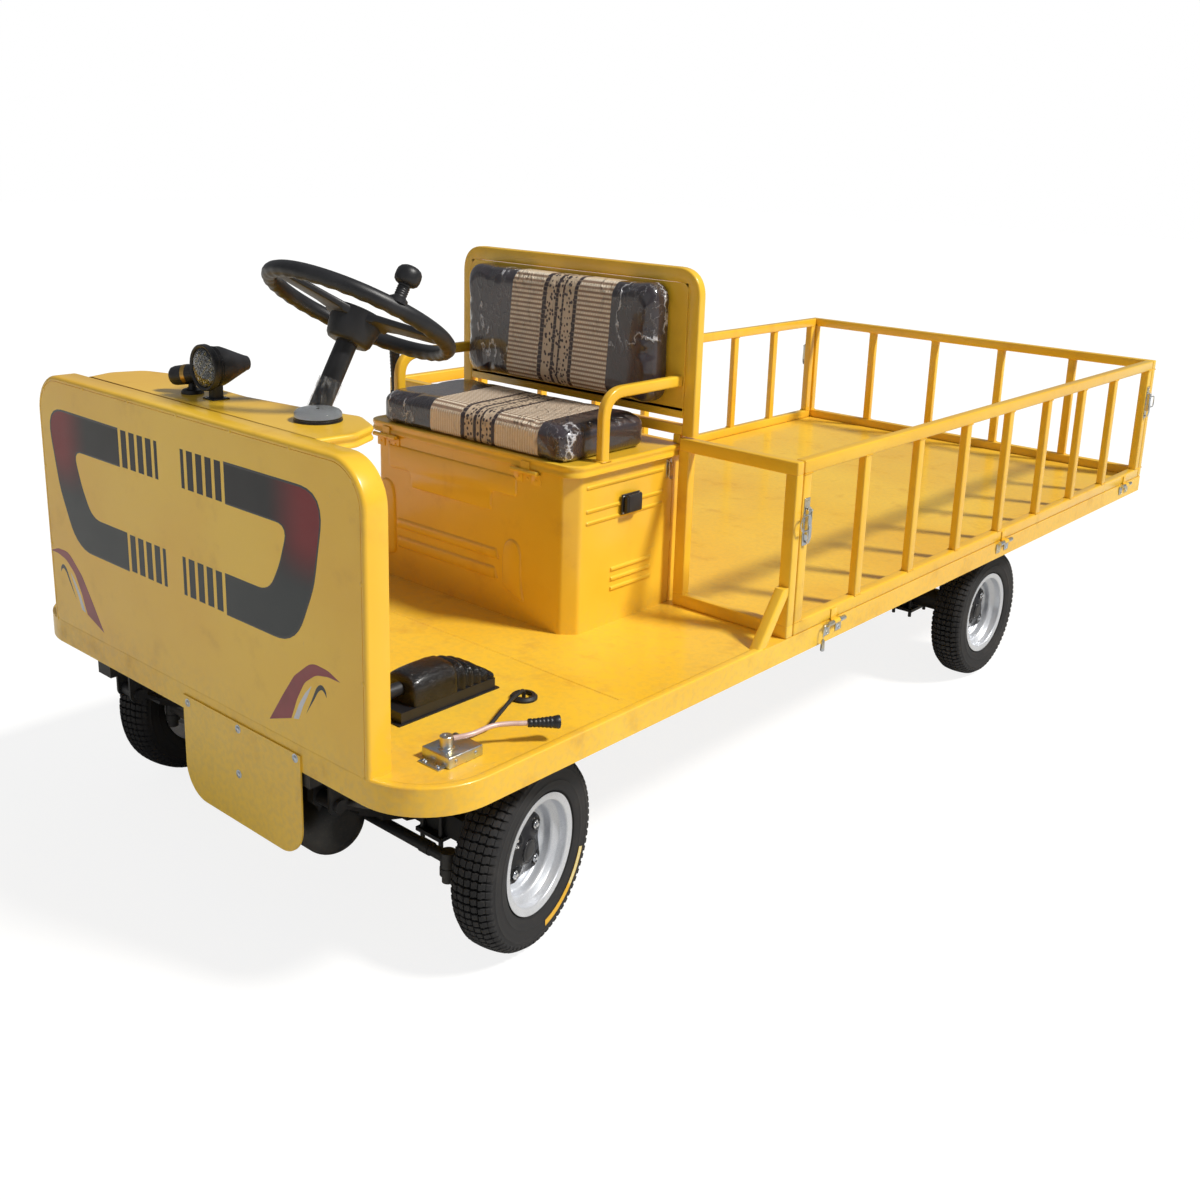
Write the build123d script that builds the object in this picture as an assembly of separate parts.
from build123d import *
import math
import os

# Electric platform truck. Millimetres. Front is -Y, the vehicle's left is +X, Z=0 is the ground.
# Lengths along the truck are measured from the front face (y=0) and moved to the middle on export.

# Main sizes
deck_width = 1600.0
deck_length = 3860.0
deck_top = 552.0
deck_corner_radius = 180.0
skirt_height = 60.0
deck_sheet = 4.0
deck_split = 1182.0
floor_plate = 3.0
fit_gap = 0.3
swing_gap = 5.0

# Wheels and axles
tyre_radius = 230.0
tyre_width = 108.0
rim_flange_radius = 142.0
bead_radius = 127.0
rim_well_radius = 104.0
rim_width = 92.0
rim_sheet = 4.0
disc_inset = 14.0
disc_sheet = 6.0
disc_flat_radius = 92.0
hub_plate_radius = 74.0
hub_plate_depth = 16.0
hub_lobe_radius = 27.0
hub_cap_radius = 27.0
hub_depth = 34.0
wheel_nuts = 4
nut_circle = 61.0
nut_radius = 11.5
nut_height = 11.0
track = 1323.0
wheelbase = 2299.0
front_axle_y = 407.0
spindle_radius = 18.0
kingpin_x = 565.0
kingpin_radius = 13.0
kingpin_boss_radius = 30.0
kingpin_boss_height = 86.0
knuckle_lug = 18.0
axle_beam = 60.0
steer_at_rest = 12.6
arm_length = 160.0
arm_height = 226.0
tie_rod_height = 256.0
tie_rod_nut = 16.0
ball_joint_radius = 18.0
tie_rod_radius = 14.0
gear_left = 90.0
gear_right = 380.0
gear_y = 140.0
gear_z = 292.0
gear_radius = 82.0
gear_end_fillet = 50.0
gear_cap = 30.0
gear_stem_radius = 34.0
gear_bracket = 40.0
gear_bracket_inset = 42.0
gear_bracket_depth = 110.0

# Chassis and springs
rail_x = 412.0
rail_width = 60.0
rail_height = 90.0
rail_wall = 5.0
cross_height = 56.0
cross_width = 50.0
spring_width = 50.0
leaf_thickness = 8.0
leaf_count = 4
leaf_step = 0.21
spring_half_span = 332.0
eye_height = 395.0
eye_radius = 17.0
spring_pin_radius = 9.0
spring_pin_head = 15.0
u_bolt_radius = 6.0
u_bolt_gap = 1.5
clamp_plate = 10.0
hanger_sheet = 8.0
hanger_side_gap = 1.0
hanger_end_radius = 24.0
rear_tube_radius = 38.0
differential_radius = 112.0
drum_radius = 96.0
motor_radius = 98.0
motor_length = 270.0

# Front panel, shelf and guard
panel_width = 1290.0
panel_top = 1204.0
panel_corner_radius = 100.0
panel_flange = 58.0
panel_sheet = 3.0
shelf_lip = 30.0
shelf_corner_radius = 28.0
shelf_edge = (
    (-494.0, 0.0),
    (-520.0, 72.0),
    (-494.0, 152.0),
    (-401.0, 184.0),
    (-330.0, 164.0),
    (-39.0, 151.0),
    (166.0, 178.0),
    (302.0, 212.0),
    (400.0, 168.0),
    (438.0, 90.0),
    (429.0, 0.0),
)
lamp_x = -57.0
lamp_rise = 74.0
lamp_front = 105.0
lamp_radius = 53.0
lamp_bezel = 14.0
lamp_barrel = 46.0
lamp_length = 120.0
lamp_tip_radius = 15.0
lamp_glass_radius = 45.0
lamp_foot_half = 22.0
lamp_stem_half = 13.0
gauge_place = (281.0, 169.0)
gauge_radius = 52.0
gauge_height = 28.0
gauge_edge = 12.0
pod_place = (-150.0, 135.0)
pod_foot_radius = 26.0
pod_foot_height = 10.0
pod_radius = 23.0
pod_left = (-196.0, 112.0, 36.0)
pod_right = (-126.0, 146.0, 50.0)
pod_stem_radius = 8.0
guard_left = -30.0
guard_right = 421.0
guard_bottom = 281.0
guard_top = 530.0
guard_corner_radius = 78.0
guard_sheet = 4.0

# Gates and fences
gate_top = 1029.0
gate_rail = 36.0
gate_depth = 30.0
gate_bar = 32.0
bar_depth = 25.0
gate_start = 1290.0
bar_pitch = 306.0
rear_bars = 4
hinge_offset = 12.0
hinge_radius = 7.0
hinge_length = 90.0
side_hinge_shares = (0.077, 0.502, 0.941)
rear_hinge_inset = 260.0

# Seat box and seat
box_half_width = 394.0
fence_box_gap = 23.0
fence_inner_x = box_half_width + fence_box_gap
box_front = 853.0
box_rear = 1294.0
box_top = 978.0
box_chamfer = 36.0
box_sheet = 3.0
pressing_depth = 5.0
pressing_left = 76.0 - box_half_width
pressing_right = box_half_width - 194.0
pressing_step_left = 96.0
pressing_step_right = 95.0
pressing_outline = (
    (pressing_left, 948.0),
    (pressing_right, 948.0),
    (pressing_right, 892.0),
    (pressing_right - pressing_step_right, 892.0),
    (pressing_right - pressing_step_right, 836.0),
    (pressing_left + pressing_step_left, 836.0),
    (pressing_left + pressing_step_left, 880.0),
    (pressing_left, 880.0),
)
rib_x = (110.0 - box_half_width, box_half_width - 268.0)
rib_places = (720.0, 664.0)
rib_height = 30.0
lobe_places = (69.0 - box_half_width, box_half_width - 209.0)
lobe_width = 72.0
lobe_z = (604.0, 846.0)
louvre_y = (1010.0, 1178.0)
louvre_places = (650.0, 677.0, 704.0)
louvre_height = 12.0
side_rib_y = (908.0, 1222.0)
side_rib_places = (943.0, 880.0)
side_rib_height = 14.0
lid_hinge_places = (76.0 - box_half_width, box_half_width - 156.0)
lid_height = 30.0
lid_rest_gap = 0.3
lid_hinge_radius = 6.0
lid_hinge_width = 96.0
lid_side_overhang = 18.0
lid_end_overhang = 8.0
lid_corner_radius = 50.0
cushion_side_inset = 16.0
cushion_half_width = box_half_width - cushion_side_inset
cushion_height = 86.0
cushion_front = 838.0
cushion_rear = 1208.0
cushion_corner_radius = 45.0
back_side_inset = 12.0
back_half_width = box_half_width - back_side_inset
back_thickness = 78.0
back_bottom = 1100.0
back_top = 1458.0
frame_tube = 40.0
frame_depth = 28.0
frame_side_reach = 61.0
frame_half_width = box_half_width + frame_side_reach
frame_top = 1484.0
frame_corner_radius = 78.0
armrest_rise = 173.7
armrest_front = 962.0
armrest_bend = 70.0

# Steering
wheel_centre = (192.0, 355.0, 1410.0)
wheel_tilt = 30.0
wheel_radius = 230.0
wheel_grip = 19.0
wheel_hub_radius = 62.0
wheel_hub_drop = 75.0
spoke_angles = (20.0, 140.0, 260.0)
spoke_hub_half = 40.0
spoke_rim_half = 24.0
spoke_depth = 16.0
knob_angle = -20.0
knob_neck_radius = 14.0
knob_low = 52.0
knob_high = 96.0
knob_radius = 28.0
knob_edge = 16.0
column_radius = 24.0
column_clearance = 12.0
column_knee = 262.0
column_foot_radius = 52.0
column_foot_height = 8.0
lower_column_radius = 20.0

# Controls
lever_box_gap = 86.0
lever_x = -box_half_width - lever_box_gap
lever_y = 990.0
lever_foot_half = (25.0, 50.0)
lever_foot_height = 6.0
lever_cheek = (6.0, 12.0)
lever_cheek_half = 30.0
lever_cheek_height = 64.0
lever_pivot_rise = 50.0
lever_pivot_radius = 7.0
lever_blade_top = 1060.0
lever_lean = 22.0
lever_grip_low = 1050.0
lever_grip_length = 140.0
lever_grip_radii = (9.0, 16.0)
tray_inset = 303.0
tray_width = 112.0
tray_y = (202.0, 505.0)
tray_lip = 5.0
tray_height = 28.0
boot_size = (104.0, 250.0)
boot_top_size = (70.0, 160.0)
boot_corner_radius = 20.0
boot_height = 72.0
boot_front = 251.0
pedal_rise = 60.0
pedal_radius = 16.0
pedal_front = 110.0
pedal_pad = 12.0
pedal_pad_half = 40.0
throttle_inset = 122.0
throttle_y = 176.0
throttle_half_width = 42.0
throttle_front = 145.0
throttle_rear = 240.0
throttle_height = 25.0
throttle_tab = 20.0
throttle_tab_sheet = 3.0
throttle_boss_radius = 14.0
throttle_boss_height = 28.0
throttle_rod_radius = 5.5
throttle_rod_gap = 1.0
throttle_rod_path = ((0.0, 0.0, 18.0), (24.0, 50.0, 22.0), (32.0, 112.0, 24.0), (76.0, 178.0, 22.0))
throttle_knob_end = (110.0, 226.0, 20.0)
throttle_knob_radii = (9.0, 15.0)
grommet_inset = 223.0
grommet_y = 505.0
grommet_height = 10.0
grommet_radius = 32.0
grommet_hole = 20.0
lead_radius = 4.5
lead_bend = 13.0
lead_path = ((0.0, 0.0, 22.0), (26.0, -70.0, 24.0), (73.0, -180.0, 14.0), (73.0, -264.7, 12.0))
socket_y = (1040.0, 1112.0)
socket_z = (850.0, 905.0)
socket_depth = 22.0

# Battery and motor masses
battery_width = 620.0
battery_length = 330.0
battery_height = 300.0


deck_bottom = deck_top - skirt_height
floor_bottom = deck_top - deck_sheet
half_width = deck_width / 2
tray_x = (half_width - tray_inset - tray_width, half_width - tray_inset)
rear_axle_y = front_axle_y + wheelbase
side_gate_length = deck_length - gate_depth - swing_gap - gate_start
hinge_z = deck_top - 4.0
front_most = -guard_sheet
rear_most = deck_length + hinge_offset + hinge_radius
middle_y = (front_most + rear_most) / 2


def block(x0, x1, y0, y1, z0, z1):
    """A box between two corners."""
    centre = Pos((x0 + x1) / 2, (y0 + y1) / 2, (z0 + z1) / 2)
    return centre * Box(x1 - x0, y1 - y0, z1 - z0)


def rod(start, end, radius):
    """A round bar between two points."""
    a = Vector(*start)
    b = Vector(*end)
    plane = Plane(origin=a, z_dir=(b - a).normalized())
    return extrude(plane * Circle(radius), (b - a).length)


def bar(start, end, width, height, x_dir=(1, 0, 0)):
    """A rectangular bar between two points; width runs along x_dir."""
    a = Vector(*start)
    b = Vector(*end)
    plane = Plane(origin=a, x_dir=x_dir, z_dir=(b - a).normalized())
    return extrude(plane * Rectangle(width, height), (b - a).length)


def mirrored(shape):
    """The same piece on the vehicle's right."""
    return mirror(shape, Plane.YZ)


def pair_of(*shapes):
    """Each piece and its mirror image, as solids of one node."""
    pieces = []
    for shape in shapes:
        pieces.append(shape)
        pieces.append(mirrored(shape))
    return Compound(children=pieces)


def moved(shape, x, y, z):
    return Pos(x, y, z) * shape


def deck_outline(inset):
    """Plan outline of the whole deck, rounded at its two front corners."""
    radius = deck_corner_radius - inset
    plate = Rectangle(deck_width - 2 * inset, deck_length - 2 * inset)
    plate = fillet(plate.vertices().group_by(Axis.Y)[0], radius)
    return moved(plate, 0, deck_length / 2, 0)


def deck_shell():
    """Floor sheet with its folded skirt all round, open below."""
    outer = extrude(moved(deck_outline(0), 0, 0, deck_bottom), skirt_height)
    inner = extrude(moved(deck_outline(deck_sheet), 0, 0, deck_bottom), skirt_height - deck_sheet)
    return outer - inner


def front_deck():
    keep = block(-half_width, half_width, 0, deck_split, deck_bottom, deck_top)
    return deck_shell() & keep


def cargo_deck():
    keep = block(-half_width, half_width, deck_split, deck_length, deck_bottom, deck_top)
    return deck_shell() & keep


def cargo_floor():
    """Wear plate laid on the cargo deck, clear of the gates."""
    edge = gate_depth + swing_gap
    front = box_rear + lid_end_overhang + swing_gap
    return block(
        edge - half_width, half_width - edge, front, deck_length - edge, deck_top, deck_top + floor_plate
    )


def spring_hanger_cheek():
    """One cheek with a rounded end that hangs from the rail beside a spring eye."""
    height = floor_bottom - rail_height - eye_height
    cheek = moved(Rectangle(2 * hanger_end_radius, height), 0, height / 2, 0)
    cheek += Circle(hanger_end_radius)
    cheek -= Circle(spring_pin_radius + fit_gap)
    return moved(extrude(Plane.YZ * cheek, hanger_sheet), 0, 0, eye_height)


def spring_hangers():
    """Pairs of cheeks under both rails, one pair for each spring eye."""
    cheek = spring_hanger_cheek()
    inner = spring_width / 2 + hanger_side_gap
    pieces = []
    for axle_y in (front_axle_y, rear_axle_y):
        for side in (-1, 1):
            for x in (rail_x + inner, rail_x - inner - hanger_sheet):
                placed = moved(cheek, x, axle_y + side * spring_half_span, 0)
                pieces.append(placed)
                pieces.append(mirrored(placed))
    return Compound(children=pieces)


def frame_rails():
    """Two box-section rails with closed ends."""
    top = floor_bottom
    bottom = top - rail_height
    outer_x = rail_x + rail_width / 2
    inner_x = rail_x - rail_width / 2
    start = deck_sheet
    end = deck_length - deck_sheet
    wall = rail_wall
    rail = block(inner_x, outer_x, start, end, bottom, top)
    rail -= block(inner_x + wall, outer_x - wall, start + wall, end - wall, bottom + wall, top - wall)
    return pair_of(rail)


def cross_members():
    """Cross members between the rails and outriggers from the rails to the skirt."""
    top = floor_bottom
    reach = rail_x - rail_width / 2
    skirt_inside = half_width - deck_sheet
    bays = 7
    first = 60.0
    pitch = (deck_length - 2 * first) / bays
    pieces = []
    for i in range(bays + 1):
        y = first + i * pitch
        half = cross_width / 2
        pieces.append(block(-reach, reach, y - half, y + half, top - cross_height, top))
        if i > 0:
            arm = block(reach + rail_width, skirt_inside, y - 20, y + 20, top - 40, top)
            pieces.append(arm)
            pieces.append(mirrored(arm))
    return Compound(children=pieces)


def leaf_spring(axle_y, seat_z, clamp_depth, clamp_half_length):
    """Leaf pack with rolled eyes, pins, U-bolts and the plate under the axle."""
    rise = eye_height - (seat_z + (leaf_count - 0.5) * leaf_thickness)
    arc_radius = (spring_half_span ** 2 + rise ** 2) / (2 * rise)
    centre_z = eye_height - rise + arc_radius
    main_radius = arc_radius + leaf_thickness / 2
    full_angle = math.degrees(math.asin(spring_half_span / arc_radius))
    section = None
    for i in range(leaf_count):
        inner = main_radius + (i - 1) * leaf_thickness
        half_angle = full_angle * (1 - leaf_step * i)
        leaf = leaf_section(inner, inner + leaf_thickness, half_angle)
        section = leaf if section is None else section + leaf
    section = moved(section, 0, centre_z, 0)
    for side in (-1, 1):
        section += moved(Circle(eye_radius), side * spring_half_span, eye_height, 0)
    pack_top = seat_z + (leaf_count + 1) * leaf_thickness
    for z in (seat_z + leaf_thickness / 2, pack_top - leaf_thickness / 2):
        section += moved(Rectangle(2 * clamp_half_length, leaf_thickness), 0, z, 0)
    pack = moved(extrude(Plane.YZ * section, spring_width), -spring_width / 2, 0, 0)
    for side in (-1, 1):
        pack += moved(spring_pin(), 0, side * spring_half_span, eye_height)
    clamps = axle_clamps(pack_top, seat_z - clamp_depth, clamp_half_length)
    return [moved(piece, rail_x, axle_y, 0) for piece in (pack, clamps)]


def leaf_section(inner, outer, half_angle):
    """Side view of one leaf: a slice of a ring round the origin, centred below it."""
    reach = outer * 2
    side = math.tan(math.radians(half_angle)) * reach
    wedge = make_face(Polyline((0, 0), (-side, -reach), (side, -reach), close=True))
    return (Circle(outer) - Circle(inner)) & wedge


def spring_pin():
    """Pin through one spring eye and its two cheeks, with a head at each end."""
    cheek_face = spring_width / 2 + hanger_side_gap + hanger_sheet
    end = cheek_face + spring_pin_radius
    pin = rod((-end, 0, 0), (end, 0, 0), spring_pin_radius)
    for side in (-1, 1):
        pin += rod((side * (cheek_face + fit_gap), 0, 0), (side * end, 0, 0), spring_pin_head)
    return pin


def axle_clamps(top_z, bottom_z, half_length):
    """Two U-bolts round the axle with the plates above the leaves and below the axle."""
    leg_x = spring_width / 2 + u_bolt_radius + u_bolt_gap
    leg_y = half_length + u_bolt_radius + 2 * u_bolt_gap
    edge_x = leg_x + 2 * u_bolt_radius
    edge_y = leg_y + 2 * u_bolt_radius
    clamps = block(-edge_x, edge_x, -edge_y, edge_y, top_z, top_z + clamp_plate)
    clamps += block(-edge_x, edge_x, -edge_y, edge_y, bottom_z - clamp_plate, bottom_z)
    crown = top_z + clamp_plate + u_bolt_radius / 2
    for y in (-leg_y, leg_y):
        for x in (-leg_x, leg_x):
            clamps += rod((x, y, bottom_z - 3 * clamp_plate), (x, y, crown), u_bolt_radius)
        clamps += rod((-leg_x, y, crown), (leg_x, y, crown), u_bolt_radius)
        for x in (-leg_x, leg_x):
            clamps += moved(Sphere(u_bolt_radius), x, y, crown)
    return clamps


def front_axle():
    """Square beam with a vertical kingpin boss at each end."""
    z = tyre_radius
    half = axle_beam / 2
    beam = block(-kingpin_x, kingpin_x, -half, half, z - half, z + half)
    for side in (-1, 1):
        boss_bottom = (side * kingpin_x, 0, z - kingpin_boss_height / 2)
        boss_top = (side * kingpin_x, 0, z + kingpin_boss_height / 2)
        beam += rod(boss_bottom, boss_top, kingpin_boss_radius)
    for side in (-1, 1):
        low = (side * kingpin_x, 0, z - kingpin_boss_height)
        high = (side * kingpin_x, 0, z + kingpin_boss_height)
        beam -= rod(low, high, kingpin_radius + fit_gap)
    return moved(beam, 0, front_axle_y, 0)


def turned(shape, side):
    """Turn a straight-ahead piece about its kingpin to the parked steering angle."""
    axis = Axis((side * kingpin_x, front_axle_y, 0), (0, 0, 1))
    return shape.rotate(axis, steer_at_rest)


def knuckle(side):
    """Forked knuckle with kingpin, spindle and forward steering arm."""
    z = tyre_radius
    half = kingpin_boss_height / 2
    low = half + 1.0
    high = low + knuckle_lug
    lug_radius = kingpin_boss_radius + 2
    wall_inner = kingpin_boss_radius + 6.0
    wall_outer = wall_inner + 20.0
    body = block(wall_inner, wall_outer, -lug_radius, lug_radius, z - high, z + high)
    for base in (z - high, z + low):
        body += rod((0, 0, base), (0, 0, base + knuckle_lug), lug_radius)
        body += block(0, wall_inner, -lug_radius, lug_radius, base, base + knuckle_lug)
    body += rod((0, 0, z - high), (0, 0, z + high + 8), kingpin_radius)
    wheel_offset = track / 2 - kingpin_x
    body += rod((wall_outer, 0, z), (wheel_offset - disc_inset + hub_depth - 8, 0, z), spindle_radius)
    arm_root = (wall_inner + 10, -lug_radius + 14, arm_height)
    arm_tip = (0, -arm_length, arm_height)
    body += bar(arm_root, arm_tip, 18, 24, (0, 0, 1))
    body += rod((0, -arm_length, arm_height - 9), (0, -arm_length, arm_height + 9), 19)
    body -= rod((0, -arm_length, arm_height - 20), (0, -arm_length, arm_height + 20), 9 + fit_gap)
    if side < 0:
        body = mirrored(body)
    return turned(moved(body, side * kingpin_x, front_axle_y, 0), side)


def tie_rod():
    """Rod with a ball joint over each steering arm; the right one is the open pivot."""
    angle = math.radians(steer_at_rest)
    shift_x = arm_length * math.sin(angle)
    y = front_axle_y - arm_length * math.cos(angle)
    left = kingpin_x + shift_x
    right = -kingpin_x + shift_x
    piece = rod((right, y, tie_rod_height), (left, y, tie_rod_height), tie_rod_radius)
    arm_top = arm_height + 9
    arm_bottom = arm_height - 9
    for x in (left, right):
        piece += rod((x, y, arm_top + 1), (x, y, tie_rod_height + ball_joint_radius), ball_joint_radius)
        piece += rod((x, y, arm_bottom - 18), (x, y, arm_top + 1), 9)
        piece += rod((x, y, arm_bottom - 18), (x, y, arm_bottom - 1), 14)
    for x in (left - 70, right + 70):
        piece += rod((x - 15, y, tie_rod_height), (x + 15, y, tie_rod_height), tie_rod_nut)
    return piece


def wheel_tyre():
    """Tyre section turned about the wheel's own axis, which runs along X."""
    half = tyre_width / 2
    bead = rim_width / 2 - rim_sheet - fit_gap
    inner = bead_radius + fit_gap
    shoulder = tyre_radius - 12
    section = make_face(
        Polyline(
            (-bead, inner),
            (bead, inner),
            (bead, rim_flange_radius + 2),
            (half, (rim_flange_radius + tyre_radius) / 2 - 4),
            (half - 4, shoulder),
            (half - 22, tyre_radius),
            (22 - half, tyre_radius),
            (4 - half, shoulder),
            (-half, (rim_flange_radius + tyre_radius) / 2 - 4),
            (-bead, rim_flange_radius + 2),
            close=True,
        )
    )
    return revolve(section, Axis.X)


def wheel_rim():
    """Deep-dish steel rim: flanges, bead seats, well and disc in one section."""
    edge = rim_width / 2
    seat = edge - rim_sheet
    well = edge - 26
    outer_skin = [
        (-edge, rim_flange_radius),
        (-seat, rim_flange_radius),
        (-seat, bead_radius),
        (-well, bead_radius),
        (-well + 10, rim_well_radius + rim_sheet),
        (well - 10, rim_well_radius + rim_sheet),
        (well, bead_radius),
        (seat, bead_radius),
        (seat, rim_flange_radius),
        (edge, rim_flange_radius),
    ]
    inner_skin = [
        (edge, bead_radius - rim_sheet),
        (well - rim_sheet + 3, bead_radius - rim_sheet),
        (well - 10 - rim_sheet + 3, rim_well_radius),
        (-disc_sheet, rim_well_radius),
        (-disc_inset, disc_flat_radius),
        (-disc_inset, spindle_radius + 14),
        (-disc_inset - disc_sheet, spindle_radius + 14),
        (-disc_inset - disc_sheet, disc_flat_radius - disc_sheet),
        (-disc_sheet * 2, rim_well_radius),
        (-well + 10 + rim_sheet - 3, rim_well_radius),
        (-well + rim_sheet - 3, bead_radius - rim_sheet),
        (-edge, bead_radius - rim_sheet),
    ]
    section = make_face(Polyline(*(outer_skin + inner_skin), close=True))
    return revolve(section, Axis.X)


def wheel_hub():
    """Lobed hub plate over the disc with its nuts and a round cap."""
    base = -disc_inset
    plate = Circle(hub_plate_radius)
    nut_places = []
    for i in range(wheel_nuts):
        angle = math.radians(360 / wheel_nuts * (i + 0.5))
        nut_places.append((nut_circle * math.cos(angle), nut_circle * math.sin(angle)))
    for y, z in nut_places:
        plate += moved(Circle(hub_lobe_radius), y, z, 0)
    body = moved(extrude(Plane.YZ * plate, hub_plate_depth), base, 0, 0)
    nut_base = base + hub_plate_depth
    for y, z in nut_places:
        body += rod((nut_base, y, z), (nut_base + nut_height, y, z), nut_radius)
    body += rod((nut_base, 0, 0), (base + hub_depth, 0, 0), hub_cap_radius)
    core_end = base - disc_sheet - 18
    body += rod((core_end, 0, 0), (base, 0, 0), spindle_radius + 12)
    body -= rod((core_end - 1, 0, 0), (base + hub_depth - 4, 0, 0), spindle_radius + fit_gap)
    return body


def wheel_place(shape, side, axle_y):
    """Put a wheel piece at its corner; front wheels take the parked steering angle."""
    if side < 0:
        shape = mirrored(shape)
    placed = moved(shape, side * track / 2, axle_y, tyre_radius)
    if axle_y == front_axle_y:
        placed = turned(placed, side)
    return placed


def rear_axle():
    """Axle tube with differential case, brake backing plates and stub spindles."""
    z = tyre_radius
    drum_face = track / 2 - disc_inset - disc_sheet - 24
    axle = rod((-drum_face + 12, 0, z), (drum_face - 12, 0, z), rear_tube_radius)
    case = moved(Sphere(differential_radius), 0, 0, z) & block(-90, 90, -120, 120, z - 120, z + 120)
    axle += case
    for side in (-1, 1):
        outer = side * drum_face
        axle += rod((side * (drum_face - 12), 0, z), (outer, 0, z), drum_radius)
        axle += rod((outer, 0, z), (side * (track / 2 + 2), 0, z), spindle_radius)
        saddle = block(-40, 40, -rear_tube_radius - 8, rear_tube_radius + 8, z, rear_seat_z())
        axle += moved(saddle, side * rail_x, 0, 0)
    return moved(axle, 0, rear_axle_y, 0)


def rear_seat_z():
    return tyre_radius + rear_tube_radius + 4


def drive_motor():
    """Traction motor bolted to the rear of the differential case."""
    start = rear_axle_y + 120 + fit_gap
    z = tyre_radius + 20
    motor = rod((0, start, z), (0, start + motor_length, z), motor_radius)
    motor = chamfer(motor.edges().group_by(Axis.Y)[-1], 14)
    nose = rod((0, rear_axle_y + 100, z), (0, start, z), 60)
    case = moved(Sphere(differential_radius + fit_gap), 0, rear_axle_y, tyre_radius)
    return motor + (nose - case)


def steering_gear():
    """Round steering gear housing slung behind the guard plate."""
    y = gear_y
    z = gear_z
    body = rod((gear_left, y, z), (gear_right, y, z), gear_radius)
    body = fillet(body.edges().group_by(Axis.X)[-1], gear_end_fillet)
    body += rod((gear_left - gear_cap, y, z), (gear_left, y, z), gear_radius - gear_cap / 2)
    column_x = wheel_centre[0]
    body += rod((column_x, y, z), (column_x, y, floor_bottom), gear_stem_radius)
    for x in (gear_left + gear_bracket_inset, gear_right - gear_bracket_inset):
        body += block(
            x - gear_bracket / 2, x + gear_bracket / 2, y - gear_bracket_depth / 2, y + gear_bracket_depth / 2,
            z, floor_bottom
        )
    return body


def front_panel():
    """Folded sheet panel: face with rounded top corners and a flange behind its edge."""
    height = panel_top - deck_top
    face = Rectangle(panel_width, height)
    face = fillet(face.vertices().group_by(Axis.Y)[-1], panel_corner_radius)
    face = moved(face, 0, height / 2, 0)
    inner = Rectangle(panel_width - 2 * panel_sheet, height)
    inner = fillet(inner.vertices().group_by(Axis.Y)[-1], panel_corner_radius - panel_sheet)
    inner = moved(inner, 0, height / 2 - panel_sheet, 0)
    plane = Plane(origin=(0, panel_flange, deck_top), x_dir=(1, 0, 0), z_dir=(0, -1, 0))
    outer_solid = extrude(plane * face, panel_flange)
    inner_solid = extrude(plane * inner, panel_flange - panel_sheet)
    return outer_solid - inner_solid


def shelf_outline():
    """Plan of the dash shelf: a lobe at each end and a hollow between them."""
    points = [(x, panel_flange + reach) for x, reach in shelf_edge]
    face = make_face(Polyline(*points, close=True))
    corners = face.vertices().filter_by(lambda v: v.Y > panel_flange + 1)
    return fillet(corners, shelf_corner_radius)


def dash_shelf():
    """Shelf sheet behind the panel with its down-turned lip, notched round the column."""
    bottom = panel_top - shelf_lip
    plate = extrude(moved(shelf_outline(), 0, 0, bottom), shelf_lip)
    hollow = offset(shelf_outline(), -panel_sheet)
    pocket = extrude(moved(hollow, 0, 0, bottom), shelf_lip - panel_sheet)
    column_x = wheel_centre[0]
    column_y = wheel_centre[1] - (wheel_centre[2] - panel_top) * math.tan(math.radians(wheel_tilt))
    notch_radius = column_radius + column_clearance
    notch = rod((column_x, column_y, bottom - shelf_lip), (column_x, column_y, panel_top + shelf_lip), notch_radius)
    return plate - pocket - notch


def guard_plate():
    width = guard_right - guard_left
    height = guard_top - guard_bottom
    face = Rectangle(width, height)
    face = fillet(face.vertices().group_by(Axis.Y)[0], guard_corner_radius)
    plane = Plane(origin=(0, 0, 0), x_dir=(1, 0, 0), z_dir=(0, -1, 0))
    centre = moved(face, (guard_left + guard_right) / 2, (guard_top + guard_bottom) / 2, 0)
    return extrude(plane * centre, guard_sheet)


def headlamp():
    """Bullet lamp on a small foot, facing forward, with its glass set back in the bezel."""
    bezel_end = lamp_front + lamp_bezel
    barrel_end = lamp_front + lamp_barrel
    tip = lamp_front + lamp_length
    section = make_face(
        Polyline(
            (0, lamp_front + lamp_bezel / 2),
            (lamp_glass_radius, lamp_front + lamp_bezel / 2),
            (lamp_glass_radius + 2, lamp_front),
            (lamp_radius, lamp_front),
            (lamp_radius, bezel_end),
            (lamp_glass_radius, bezel_end + 4),
            (lamp_glass_radius, barrel_end),
            (lamp_tip_radius, tip),
            (0, tip),
            close=True,
        )
    )
    axis_z = panel_top + lamp_rise
    shell = moved(revolve(section, Axis.Y), lamp_x, 0, axis_z)
    middle = barrel_end - lamp_stem_half
    half = lamp_foot_half
    foot = block(lamp_x - half, lamp_x + half, middle - half, middle + half, panel_top, panel_top + panel_sheet)
    half = lamp_stem_half
    stem = block(lamp_x - half, lamp_x + half, middle - half, middle + half, panel_top, axis_z - lamp_tip_radius)
    return shell + foot + stem


def gauge():
    """Round meter lying on the shelf under its domed glass."""
    x, y = gauge_place
    pod = rod((x, y, panel_top), (x, y, panel_top + gauge_height), gauge_radius)
    return fillet(pod.edges().group_by(Axis.Z)[-1], gauge_edge)


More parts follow.
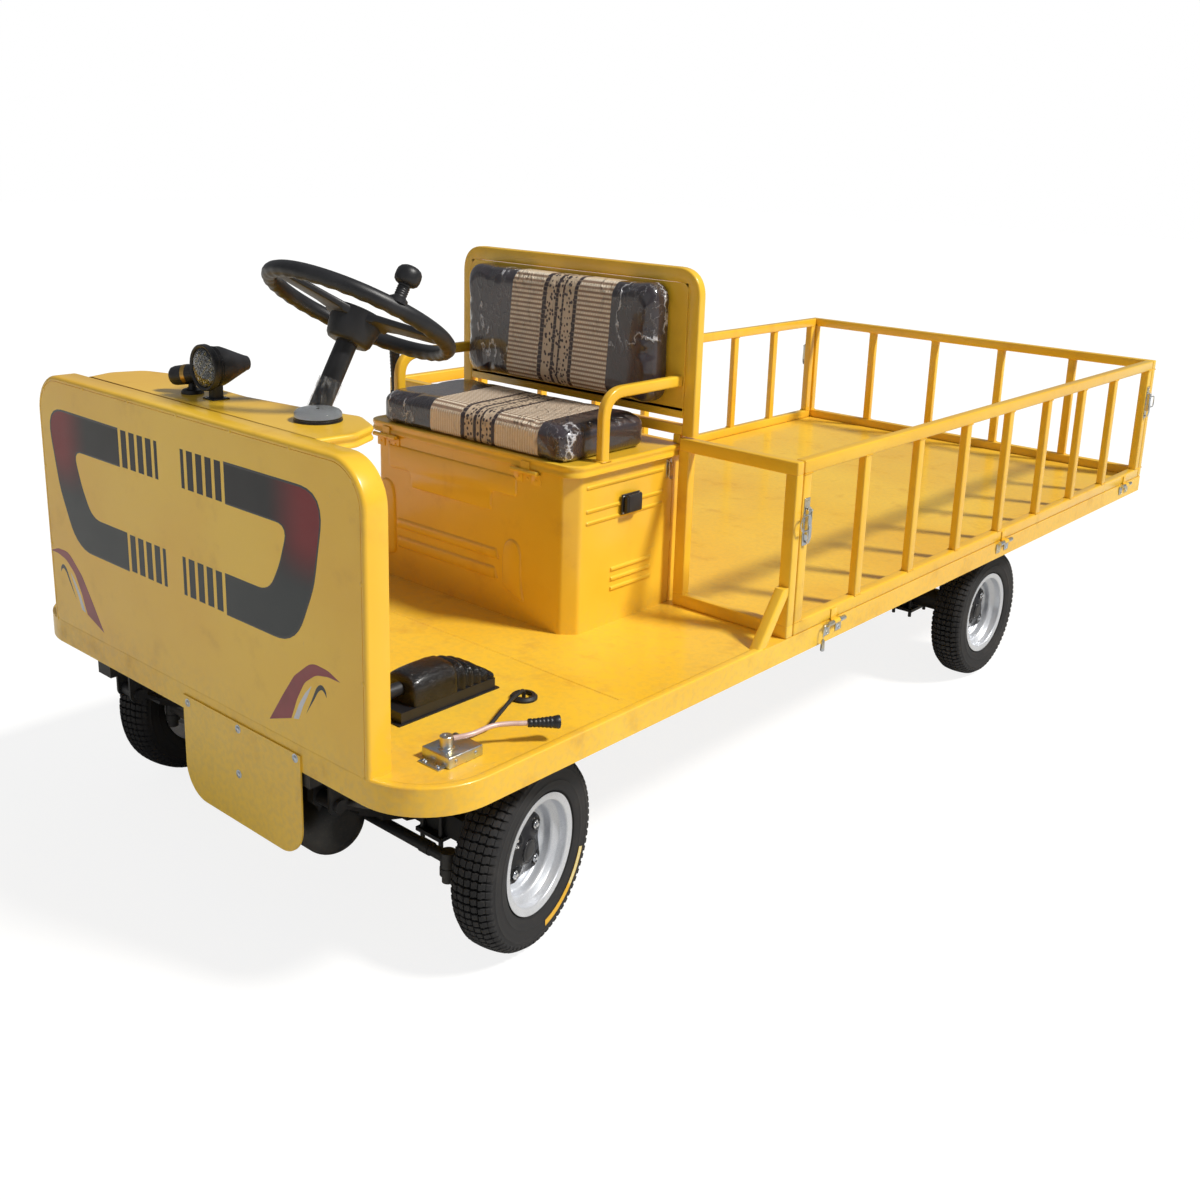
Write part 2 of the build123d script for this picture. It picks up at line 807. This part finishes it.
def switch_pod():
    """Small round indicator lamp on its own foot."""
    x, y = pod_place
    base = rod((x, y, panel_top), (x, y, panel_top + pod_foot_height), pod_foot_radius)
    left_end = (pod_left[0], pod_left[1], panel_top + pod_left[2])
    right_end = (pod_right[0], pod_right[1], panel_top + pod_right[2])
    pod = rod(left_end, right_end, pod_radius)
    stem = rod((x, y, panel_top), (x, y, panel_top + pod_right[2]), pod_stem_radius)
    return base + pod + stem


def seat_box_outline(inset):
    width = box_half_width - inset
    front = box_front + inset
    rear = box_rear - inset
    cut = box_chamfer
    return make_face(
        Polyline(
            (-width, rear),
            (-width, front + cut),
            (-width + cut, front),
            (width - cut, front),
            (width, front + cut),
            (width, rear),
            close=True,
        )
    )


def seat_box():
    """Open-topped sheet box under the seat, with its raised pressings."""
    height = box_top - deck_top
    outer = extrude(moved(seat_box_outline(0), 0, 0, deck_top), height)
    inner = extrude(moved(seat_box_outline(box_sheet), 0, 0, deck_top + box_sheet), height)
    box = outer - inner + front_pressings()
    sides = side_pressings()
    box += sides
    box += mirrored(sides)
    for x in lid_hinge_places:
        box += lid_hinge(x, False)
    return box


def front_pressings():
    """Stepped panel, two ribs and two upright lobes raised on the box's front."""
    face = make_face(Polyline(*pressing_outline, close=True))
    for z in rib_places:
        face += moved(Rectangle(rib_x[1] - rib_x[0], rib_height), (rib_x[0] + rib_x[1]) / 2, z, 0)
    for x in lobe_places:
        lobe = RectangleRounded(lobe_width, lobe_z[1] - lobe_z[0], lobe_width / 2 - 1)
        face += moved(lobe, x, (lobe_z[0] + lobe_z[1]) / 2, 0)
    plane = Plane(origin=(0, box_front, 0), x_dir=(1, 0, 0), z_dir=(0, -1, 0))
    return extrude(plane * face, pressing_depth)


def side_pressings():
    """Ribs and louvres on the box's left side."""
    x = box_half_width
    pieces = None
    rows = [(z, side_rib_height, side_rib_y) for z in side_rib_places]
    rows += [(z, louvre_height, louvre_y) for z in louvre_places]
    for z, height, (front, rear) in rows:
        rib = block(x, x + pressing_depth, front, rear, z - height / 2, z + height / 2)
        pieces = rib if pieces is None else pieces + rib
    return pieces


def lid_hinge(x, on_lid):
    """Half of one lid hinge: the outer knuckles sit on the box, the middle one on the lid."""
    y = box_front - lid_end_overhang - lid_hinge_radius - 1
    z = box_top - lid_hinge_radius
    half = lid_hinge_width / 2
    third = lid_hinge_width / 6
    if on_lid:
        leaf = block(x - third + 0.5, x + third - 0.5, y, y + lid_hinge_radius + 1, z, z + lid_hinge_radius)
        leaf += block(x - third + 0.5, x + third - 0.5, y + 4, y + 7, z, z + lid_hinge_radius + 20)
        return rod((x - third + 0.5, y, z), (x + third - 0.5, y, z), lid_hinge_radius) + leaf
    piece = None
    for start, end in ((x - half, x - third), (x + third, x + half)):
        knuckle_part = rod((start, y, z), (end, y, z), lid_hinge_radius)
        knuckle_part += block(start, end, y, box_front + 1, z - lid_hinge_radius, z - 2)
        knuckle_part += block(start, end, box_front - 3, box_front + 1, z - 34, z - 2)
        piece = knuckle_part if piece is None else piece + knuckle_part
    return piece


def battery_block():
    y = (box_front + box_rear) / 2
    z = deck_top + box_sheet
    half_x = battery_width / 2
    half_y = battery_length / 2
    return block(-half_x, half_x, y - half_y, y + half_y, z, z + battery_height)


def lid_solid(inset, z0, z1):
    half = box_half_width + lid_side_overhang - inset
    front = box_front - lid_end_overhang + inset
    rear = box_rear + lid_end_overhang - inset
    plate = Rectangle(2 * half, rear - front)
    plate = fillet(plate.vertices().group_by(Axis.Y)[0], lid_corner_radius - inset)
    return extrude(moved(plate, 0, (front + rear) / 2, z0), z1 - z0)


def seat_lid():
    """Pressed lid pan that covers the box, hollow below."""
    low = box_top + lid_rest_gap
    high = low + lid_height
    lid = lid_solid(0, low, high) - lid_solid(box_sheet, low, high - box_sheet)
    for x in lid_hinge_places:
        lid += lid_hinge(x, True)
    return lid


def seat_cushion():
    low = box_top + lid_rest_gap + lid_height + fit_gap
    pad = Rectangle(2 * cushion_half_width, cushion_rear - cushion_front)
    pad = fillet(pad.vertices(), cushion_corner_radius)
    body = extrude(moved(pad, 0, (cushion_front + cushion_rear) / 2, low), cushion_height)
    return fillet(body.edges().group_by(Axis.Z)[-1], 24)


def backrest_cushion():
    face = Rectangle(2 * back_half_width, back_top - back_bottom)
    face = fillet(face.vertices(), 50)
    frame_front = box_rear - frame_depth
    plane = Plane(origin=(0, frame_front - fit_gap, 0), x_dir=(1, 0, 0), z_dir=(0, -1, 0))
    body = extrude(plane * moved(face, 0, (back_top + back_bottom) / 2, 0), back_thickness)
    return fillet(body.edges().group_by(Axis.Y)[0], 24)


def seat_frame():
    """Back frame with its rear sheet, feet on the lid, and the two armrests."""
    front = box_rear - frame_depth
    lid_top = box_top + lid_rest_gap + lid_height
    foot = gate_top + swing_gap
    outer = Rectangle(2 * frame_half_width, frame_top - foot)
    outer = fillet(outer.vertices().group_by(Axis.Y)[-1], frame_corner_radius)
    inner = Rectangle(2 * (frame_half_width - frame_tube), frame_top - frame_tube - foot)
    inner = fillet(inner.vertices().group_by(Axis.Y)[-1], frame_corner_radius - frame_tube / 2)
    inner = moved(inner, 0, -frame_tube / 2, 0)
    plane = Plane(origin=(0, box_rear, (frame_top + foot) / 2), x_dir=(1, 0, 0), z_dir=(0, -1, 0))
    frame = extrude(plane * (outer - inner), frame_depth)
    reach = frame_half_width - frame_tube + 1
    frame += block(-reach, reach, front, front + 18, back_bottom - 20, back_bottom + 10)
    frame += block(-reach, reach, front, front + 3, back_bottom, frame_top - frame_tube)
    frame += block(-reach, reach, front, box_rear, foot, foot + frame_depth)
    lid_edge = box_half_width + lid_side_overhang
    arm_width = 24.0
    x = lid_edge - arm_width / 2 - 2
    leg = block(x - arm_width / 2, x + arm_width / 2, front, box_rear, lid_top, foot)
    armrest_height = lid_top + armrest_rise
    path = FilletPolyline(
        (x, front + 1, armrest_height),
        (x, armrest_front, armrest_height),
        (x, armrest_front, lid_top),
        radius=armrest_bend,
    )
    start = Plane(origin=(x, front + 1, armrest_height), x_dir=(1, 0, 0), z_dir=(0, -1, 0))
    arm = sweep(start * Rectangle(arm_width, 30), path)
    link = block(x - arm_width / 2, reach, front, front + 20, armrest_height - 15, armrest_height + 15)
    side = leg + arm + link
    return frame + side + mirrored(side)


def gate_frame(length, bars, pitch, first):
    """Gate laid along X from 0 to length: rails, end stiles and inner bars, outer face at y=0."""
    low = deck_top + 1.0
    frame = block(0, length, 0, gate_depth, gate_top - gate_rail, gate_top)
    frame += block(0, length, 0, gate_depth, low, low + gate_rail)
    for x in (0, length - gate_rail):
        frame += block(x, x + gate_rail, 0, gate_depth, low, gate_top)
    for i in range(bars):
        centre = first + i * pitch
        frame += block(
            centre - gate_bar / 2, centre + gate_bar / 2, 0, bar_depth, low + gate_rail, gate_top - gate_rail
        )
    return frame


def hinge_pair(centre):
    """Hinge knuckle along X at y=-hinge_offset: fixed leaf part and gate leaf part."""
    third = hinge_length / 3
    left = centre - hinge_length / 2
    fixed = None
    gate = None
    for i in range(3):
        x0 = left + i * third + 0.5
        x1 = left + (i + 1) * third - 0.5
        barrel = rod((x0, -hinge_offset, hinge_z), (x1, -hinge_offset, hinge_z), hinge_radius)
        if i == 1:
            leaf = block(x0, x1, -hinge_offset, 0, hinge_z, hinge_z + 6)
            leaf += block(x0, x1, -4, 0, hinge_z, hinge_z + 36)
            gate = barrel + leaf
        else:
            leaf = block(x0, x1, -hinge_offset, 0, hinge_z - 6, hinge_z - 2)
            leaf += block(x0, x1, -4, 0, hinge_z - 36, hinge_z - 2)
            fixed = barrel + leaf if fixed is None else fixed + barrel + leaf
    return fixed, gate


def side_gate_parts():
    """Side gate in its own frame: x runs rearward from the gate's front end."""
    length = side_gate_length
    bars = int((length - gate_rail) / bar_pitch) - 1
    gate = gate_frame(length, bars, bar_pitch, gate_rail / 2 + bar_pitch)
    fixed = None
    for share in side_hinge_shares:
        root_leaf, gate_leaf = hinge_pair(share * length)
        gate += gate_leaf
        fixed = root_leaf if fixed is None else fixed + root_leaf
    latches = []
    for end, way in ((0.0, -1), (length, 1)):
        stile = end - way * gate_rail / 2
        latch = block(stile - 13, stile + 13, -12, 0, 800, 930)
        latch += block(stile - 9, stile + 9, -18, -12, 812, 900)
        tip = end + way * (swing_gap + 24)
        for z in (846.0, 886.0):
            latch += bar((stile, -14, z), (tip, -14, z), 4, 4, (0, 0, 1))
        latch += bar((tip, -14, 844), (tip, -14, 888), 4, 4, (1, 0, 0))
        latches.append(latch)
    return gate, fixed, Compound(children=latches)


def on_left_side(shape):
    """From gate coordinates to the vehicle's left side."""
    return moved(shape.rotate(Axis.Z, 90), half_width, gate_start, 0)


def on_right_side(shape):
    """The right gate is the left one turned end for end, so its wide bay comes at the front."""
    return moved(shape.rotate(Axis.Z, -90), -half_width, gate_start + side_gate_length, 0)


def rear_gate_parts():
    """Rear gate across the tail, outer face at the deck's rear end."""
    width = deck_width
    pitch = (width - gate_rail) / (rear_bars + 1)
    gate = gate_frame(width, rear_bars, pitch, gate_rail / 2 + pitch)
    fixed = None
    for place in (rear_hinge_inset, width - rear_hinge_inset):
        root_leaf, gate_leaf = hinge_pair(place)
        gate += gate_leaf
        fixed = root_leaf if fixed is None else fixed + root_leaf
    placed = []
    for shape in (gate, fixed):
        placed.append(moved(shape.rotate(Axis.Z, 180), half_width, deck_length, 0))
    return placed


def front_fence():
    """Fixed fence beside the seat box with its square-tube brace to the deck edge."""
    rear = gate_start - swing_gap
    front = rear - gate_depth
    low = deck_top
    frame = block(fence_inner_x, half_width, front, rear, low, gate_top)
    frame -= block(
        fence_inner_x + gate_rail, half_width - gate_rail, front - 1, rear + 1, low + gate_rail, gate_top - gate_rail
    )
    brace_x = half_width - gate_rail / 2
    foot = (brace_x, front - 110, low)
    head = (brace_x, front + 6, low + 150)
    brace = bar(foot, head, 30, 30) & block(0, half_width, front - 200, front, low, gate_top)
    return frame + brace


def steering_axis():
    tilt = math.radians(wheel_tilt)
    return Vector(0, math.sin(tilt), math.cos(tilt))


def steering_column():
    """Tilted upper jacket, knee under the shelf and upright lower jacket to the deck."""
    axis = steering_axis()
    centre = Vector(*wheel_centre)
    knee = centre - axis * column_knee
    column = rod(centre - axis * wheel_hub_drop, knee, column_radius)
    column += moved(Sphere(column_radius), knee.X, knee.Y, knee.Z)
    column += rod((knee.X, knee.Y, deck_top), (knee.X, knee.Y, knee.Z), lower_column_radius)
    foot_top = deck_top + column_foot_height
    column += rod((knee.X, knee.Y, deck_top), (knee.X, knee.Y, foot_top), column_foot_radius)
    under = panel_top - shelf_lip
    half = column_radius
    column += block(knee.X - half, knee.X + half, panel_sheet, knee.Y, under - 40, under - 8)
    return column


def steering_wheel():
    """Rim, drum hub, three broad spokes and the spinner knob on its neck."""
    plane = Plane(origin=wheel_centre, x_dir=(1, 0, 0), z_dir=steering_axis())
    ring = wheel_radius - wheel_grip
    wheel = Torus(ring, wheel_grip)
    wheel += rod((0, 0, -wheel_hub_drop), (0, 0, 0), wheel_hub_radius)
    outline = [(0, -spoke_hub_half), (ring, -spoke_rim_half), (ring, spoke_rim_half), (0, spoke_hub_half)]
    spoke = moved(extrude(make_face(Polyline(*outline, close=True)), spoke_depth), 0, 0, -spoke_depth)
    for angle in spoke_angles:
        wheel += spoke.rotate(Axis.Z, angle)
    x = ring * math.cos(math.radians(knob_angle))
    y = ring * math.sin(math.radians(knob_angle))
    wheel += rod((x, y, 0), (x, y, knob_low + knob_edge), knob_neck_radius)
    knob = rod((x, y, knob_low), (x, y, knob_high), knob_radius)
    wheel += fillet(knob.edges().filter_by(GeomType.CIRCLE), knob_edge)
    return plane.location * wheel


def hand_lever():
    """Parking brake lever beside the seat box on the vehicle's right, with a tapered grip."""
    x = lever_x
    y = lever_y
    half_x, half_y = lever_foot_half
    foot_top = deck_top + lever_foot_height
    lever = block(x - half_x, x + half_x, y - half_y, y + half_y, deck_top, foot_top)
    inner, outer = lever_cheek
    for low, high in ((x - outer, x - inner), (x + inner, x + outer)):
        cheek_top = foot_top + lever_cheek_height
        lever += block(low, high, y - lever_cheek_half, y + lever_cheek_half, foot_top, cheek_top)
    pivot_z = deck_top + lever_pivot_rise
    reach = outer + 4
    lever += rod((x - reach, y, pivot_z), (x + reach, y, pivot_z), lever_pivot_radius)
    lever += bar((x, y, pivot_z - 20), (x, y + lever_lean, lever_blade_top), 10, 24)
    low_radius, high_radius = lever_grip_radii
    grip = Cone(low_radius, high_radius, lever_grip_length)
    return lever + moved(grip, x, y + lever_lean, lever_grip_low + lever_grip_length / 2)


def pedal_base():
    """Tray under the foot brake's boot: a flat flange and a low box on it."""
    left, right = tray_x
    front, rear = tray_y
    flange_top = deck_top + floor_plate
    tray = block(left, right, front, rear, deck_top, flange_top)
    tray += block(
        left + tray_lip, right - tray_lip, front + 2 * tray_lip, rear - 2 * tray_lip, flange_top, deck_top + tray_height
    )
    return tray


def pedal_gaiter():
    """Leather boot round the foot brake's pivot, upright in front and sloping behind."""
    low = deck_top + tray_height + fit_gap
    x = (tray_x[0] + tray_x[1]) / 2
    foot = Pos(x, boot_front + boot_size[1] / 2, low) * RectangleRounded(*boot_size, boot_corner_radius)
    head_y = boot_front + boot_top_size[1] / 2
    head = Pos(x, head_y, low + boot_height) * RectangleRounded(*boot_top_size, boot_corner_radius)
    return loft([foot, head])


def pedal_arm():
    """Foot brake arm and pad in front of the gaiter."""
    x = (tray_x[0] + tray_x[1]) / 2
    z = deck_top + pedal_rise
    pad_end = pedal_front + pedal_pad
    arm = rod((x, pad_end - 1, z), (x, boot_front - fit_gap, z), pedal_radius)
    half = pedal_pad_half
    pad = block(x - half, x + half, pedal_front, pad_end, z - pedal_radius, z - pedal_radius + 2 * half)
    return arm + pad


def throttle_x():
    return half_width - throttle_inset


def throttle_box():
    """Sheet box with a screw flange in front and the lever's boss on top."""
    x = throttle_x()
    top = deck_top + throttle_height
    half = throttle_half_width
    box = block(x - half, x + half, throttle_front, throttle_rear, deck_top, top)
    tab_half = half - throttle_tab / 2
    tab_top = deck_top + throttle_tab_sheet
    box += block(x - tab_half, x + tab_half, throttle_front - throttle_tab, throttle_front, deck_top, tab_top)
    boss_top = top + throttle_boss_height
    return box + rod((x, throttle_y, top), (x, throttle_y, boss_top), throttle_boss_radius)


def throttle_lever():
    """Curved rod out of the boss to a tapered knob."""
    base = Vector(throttle_x(), throttle_y, deck_top + throttle_height)
    points = [base + Vector(*point) for point in throttle_rod_path]
    start = points[0] + (points[1] - points[0]).normalized() * (throttle_boss_radius + throttle_rod_gap)
    path = Spline(start, *points[1:])
    profile = Plane(origin=path @ 0, z_dir=path % 0) * Circle(throttle_rod_radius)
    lever = sweep(profile, path)
    knob_end = base + Vector(*throttle_knob_end)
    way = knob_end - points[-1]
    low_radius, high_radius = throttle_knob_radii
    plane = Plane(origin=points[-1], z_dir=way.normalized())
    knob = moved(Cone(low_radius, high_radius, way.length), 0, 0, way.length / 2)
    return lever + plane.location * knob


def throttle_lead():
    """Electric lead held between the grommet and the rear of the box."""
    base = Vector(half_width - grommet_inset, grommet_y, deck_top)
    points = [base + Vector(*point) for point in lead_path]
    path = FilletPolyline(base + Vector(0, 0, fit_gap), *points, radius=lead_bend)
    profile = Plane(origin=path @ 0, z_dir=path % 0) * Circle(lead_radius)
    return sweep(profile, path)


def wire_grommet():
    x = half_width - grommet_inset
    top = deck_top + grommet_height
    ring = rod((x, grommet_y, deck_top), (x, grommet_y, top), grommet_radius)
    ring = chamfer(ring.edges().group_by(Axis.Z)[-1], grommet_height / 2)
    return ring - rod((x, grommet_y, deck_bottom), (x, grommet_y, top + 1), grommet_hole)


def charge_socket():
    x = box_half_width + pressing_depth
    return block(x, x + socket_depth, *socket_y, *socket_z)


def build_parts():
    parts = {}
    parts["front_deck"] = front_deck()
    parts["cargo_deck"] = cargo_deck()
    parts["cargo_floor"] = cargo_floor()
    parts["frame_rails"] = frame_rails()
    parts["spring_hangers"] = spring_hangers()
    parts["cross_members"] = cross_members()
    front_spring = leaf_spring(front_axle_y, tyre_radius + axle_beam / 2, axle_beam, axle_beam / 2)
    rear_spring = leaf_spring(rear_axle_y, rear_seat_z(), 2 * rear_tube_radius + 8, rear_tube_radius + 8)
    parts["front_springs"] = pair_of(*front_spring)
    parts["rear_springs"] = pair_of(*rear_spring)
    parts["front_axle"] = front_axle()
    parts["rear_axle"] = rear_axle()
    parts["drive_motor"] = drive_motor()
    parts["steering_gear"] = steering_gear()
    parts["tie_rod"] = tie_rod()
    tyre = wheel_tyre()
    rim = wheel_rim()
    hub = wheel_hub()
    for end, axle_y in (("front", front_axle_y), ("rear", rear_axle_y)):
        for name, side in (("left", 1), ("right", -1)):
            parts[f"tyre_{end}_{name}"] = wheel_place(tyre, side, axle_y)
            parts[f"rim_{end}_{name}"] = wheel_place(rim, side, axle_y)
            parts[f"hub_{end}_{name}"] = wheel_place(hub, side, axle_y)
    parts["knuckle_left"] = knuckle(1)
    parts["knuckle_right"] = knuckle(-1)
    parts["front_panel"] = front_panel()
    parts["dash_shelf"] = dash_shelf()
    parts["guard_plate"] = guard_plate()
    parts["headlamp"] = headlamp()
    parts["gauge"] = gauge()
    parts["switch_pod"] = switch_pod()
    parts["seat_box"] = seat_box()
    parts["battery_block"] = battery_block()
    parts["seat_lid"] = seat_lid()
    parts["seat_cushion"] = seat_cushion()
    parts["backrest_cushion"] = backrest_cushion()
    parts["seat_frame"] = seat_frame()
    gate, side_hinges, latches = side_gate_parts()
    rear_gate, rear_hinges = rear_gate_parts()
    parts["gate_left"] = on_left_side(gate)
    parts["gate_right"] = on_right_side(gate)
    parts["gate_rear"] = rear_gate
    parts["gate_latches_left"] = on_left_side(latches)
    parts["gate_latches_right"] = on_right_side(latches)
    hinge_sets = [on_left_side(side_hinges), on_right_side(side_hinges), rear_hinges]
    parts["gate_hinges"] = Compound(children=hinge_sets)
    parts["fence_left"] = front_fence()
    parts["fence_right"] = mirrored(front_fence())
    parts["steering_column"] = steering_column()
    parts["steering_wheel"] = steering_wheel()
    parts["hand_lever"] = hand_lever()
    parts["pedal_base"] = pedal_base()
    parts["pedal_gaiter"] = pedal_gaiter()
    parts["pedal_arm"] = pedal_arm()
    parts["throttle_box"] = throttle_box()
    parts["throttle_lever"] = throttle_lever()
    parts["throttle_lead"] = throttle_lead()
    parts["wire_grommet"] = wire_grommet()
    parts["charge_socket"] = charge_socket()
    return parts


os.makedirs("parts", exist_ok=True)
for node, shape in build_parts().items():
    export_step(Pos(0, -middle_y, 0) * shape, f"parts/{node}.step")
print("overall length", round(rear_most - front_most, 1), "middle at", middle_y)
